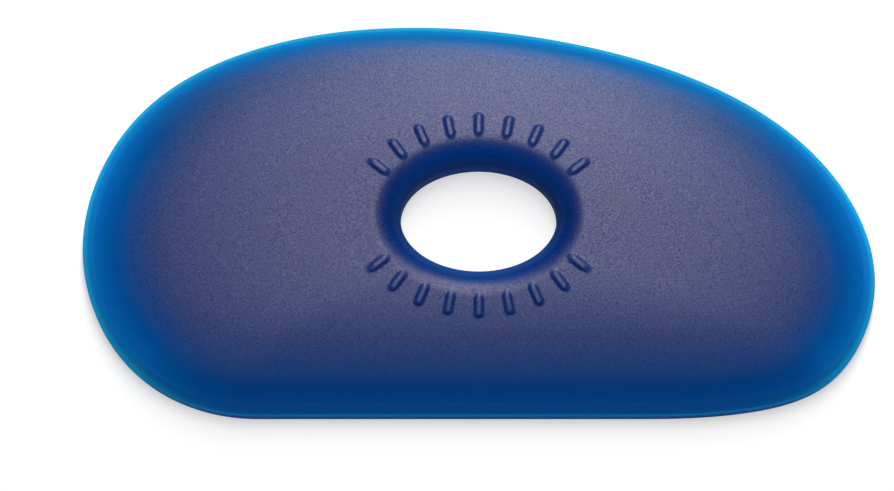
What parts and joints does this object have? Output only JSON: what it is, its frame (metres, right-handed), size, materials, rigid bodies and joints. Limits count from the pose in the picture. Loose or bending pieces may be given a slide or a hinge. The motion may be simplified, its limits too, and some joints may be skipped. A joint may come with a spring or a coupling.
{
  "type": "pottery rib",
  "caption": "Kidney-shaped flexible pottery rib with a straight working edge, a crowned top, a flat back and an oval finger hole, for shaping and smoothing clay.",
  "frame": {"origin": "middle of the outline, on the flat back", "axes": "+X along the length towards the narrow end, +Y from the straight working edge to the long curved edge, +Z from the flat back to the crowned top"},
  "size_m": [0.0888, 0.0444, 0.0061],
  "materials": {
    "blue_polyurethane": "satin, slightly translucent"
  },
  "bodies": {
    "root": {"rib_body": "blue_polyurethane"}
  },
  "joints": []
}
